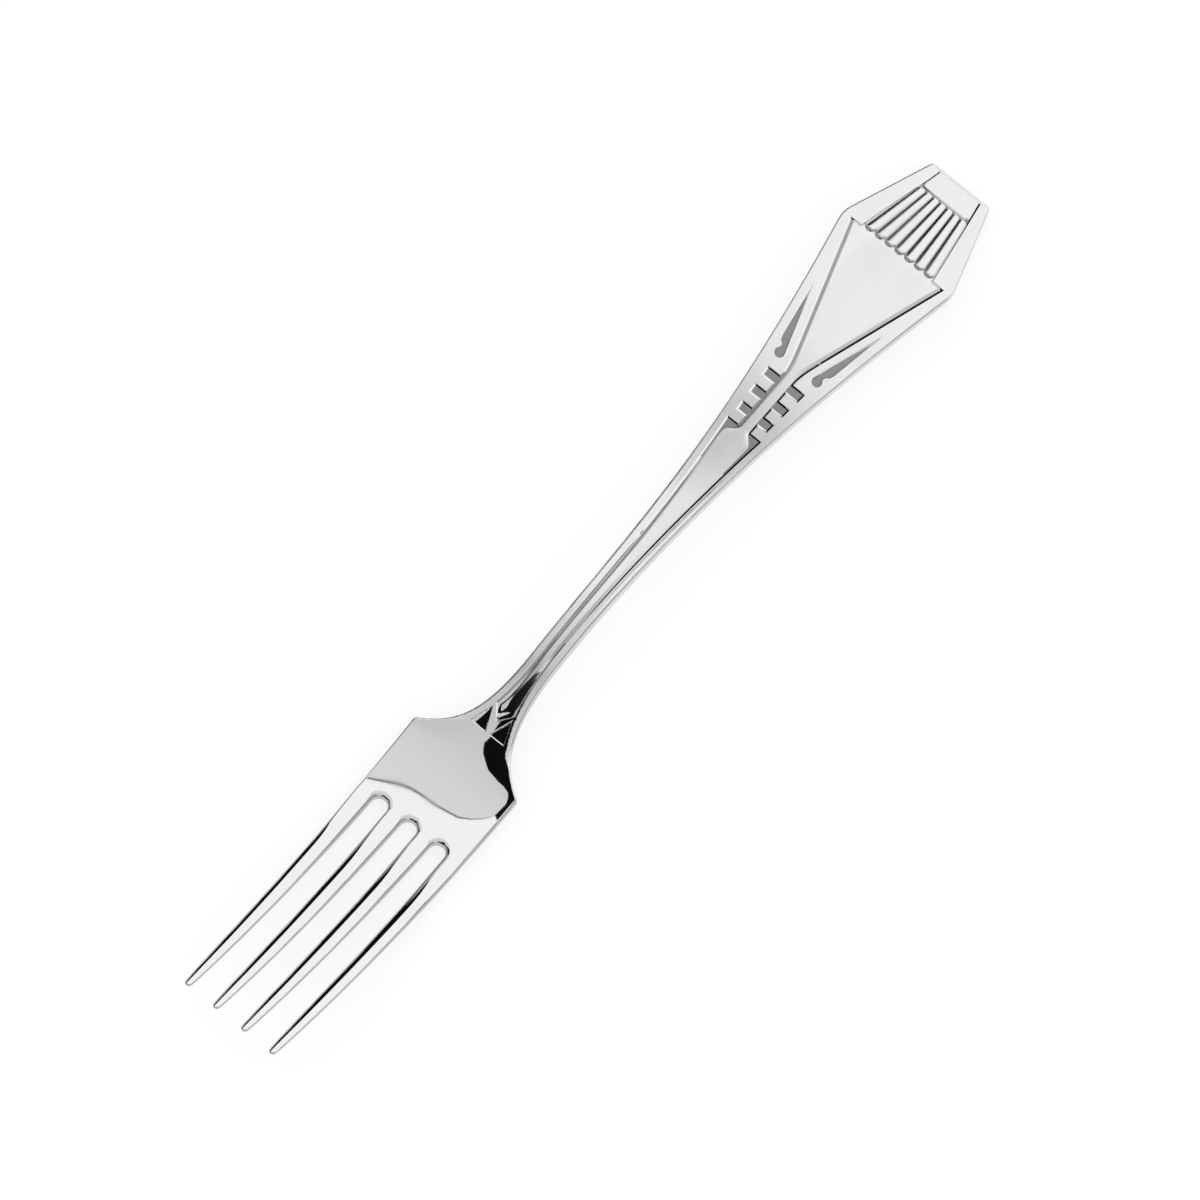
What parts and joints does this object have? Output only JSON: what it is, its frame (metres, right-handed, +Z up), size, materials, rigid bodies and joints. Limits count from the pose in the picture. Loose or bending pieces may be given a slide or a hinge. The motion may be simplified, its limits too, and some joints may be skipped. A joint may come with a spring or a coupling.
{
  "type": "dessert fork",
  "caption": "Dessert fork with tapering tines, a dished palm, a slim ribbed stem and a kite-shaped handle end bearing a plain shield, a fan of reeds and struck squares and drops.",
  "frame": {"origin": "on the table, under the middle of the fork's length and width, as the fork lies face up on its palm and the end of its handle", "axes": "+X along the fork from the tine tips to the end of the handle, +Y across the tines, +Z up from the table"},
  "size_m": [0.18, 0.0222, 0.0136],
  "materials": {
    "polished_silver": "mirror-polished silver with a fine satin wear and a grey ground in the struck recesses"
  },
  "bodies": {
    "root": {"tine_1": "polished_silver", "tine_2": "polished_silver", "tine_3": "polished_silver", "tine_4": "polished_silver", "palm": "polished_silver", "neck": "polished_silver", "stem": "polished_silver", "stem_rib": "polished_silver", "terminal": "polished_silver", "shield": "polished_silver", "reed_1": "polished_silver", "reed_2": "polished_silver", "reed_3": "polished_silver", "reed_4": "polished_silver", "reed_5": "polished_silver", "reed_6": "polished_silver", "reed_7": "polished_silver", "end_tablet": "polished_silver"}
  },
  "joints": []
}
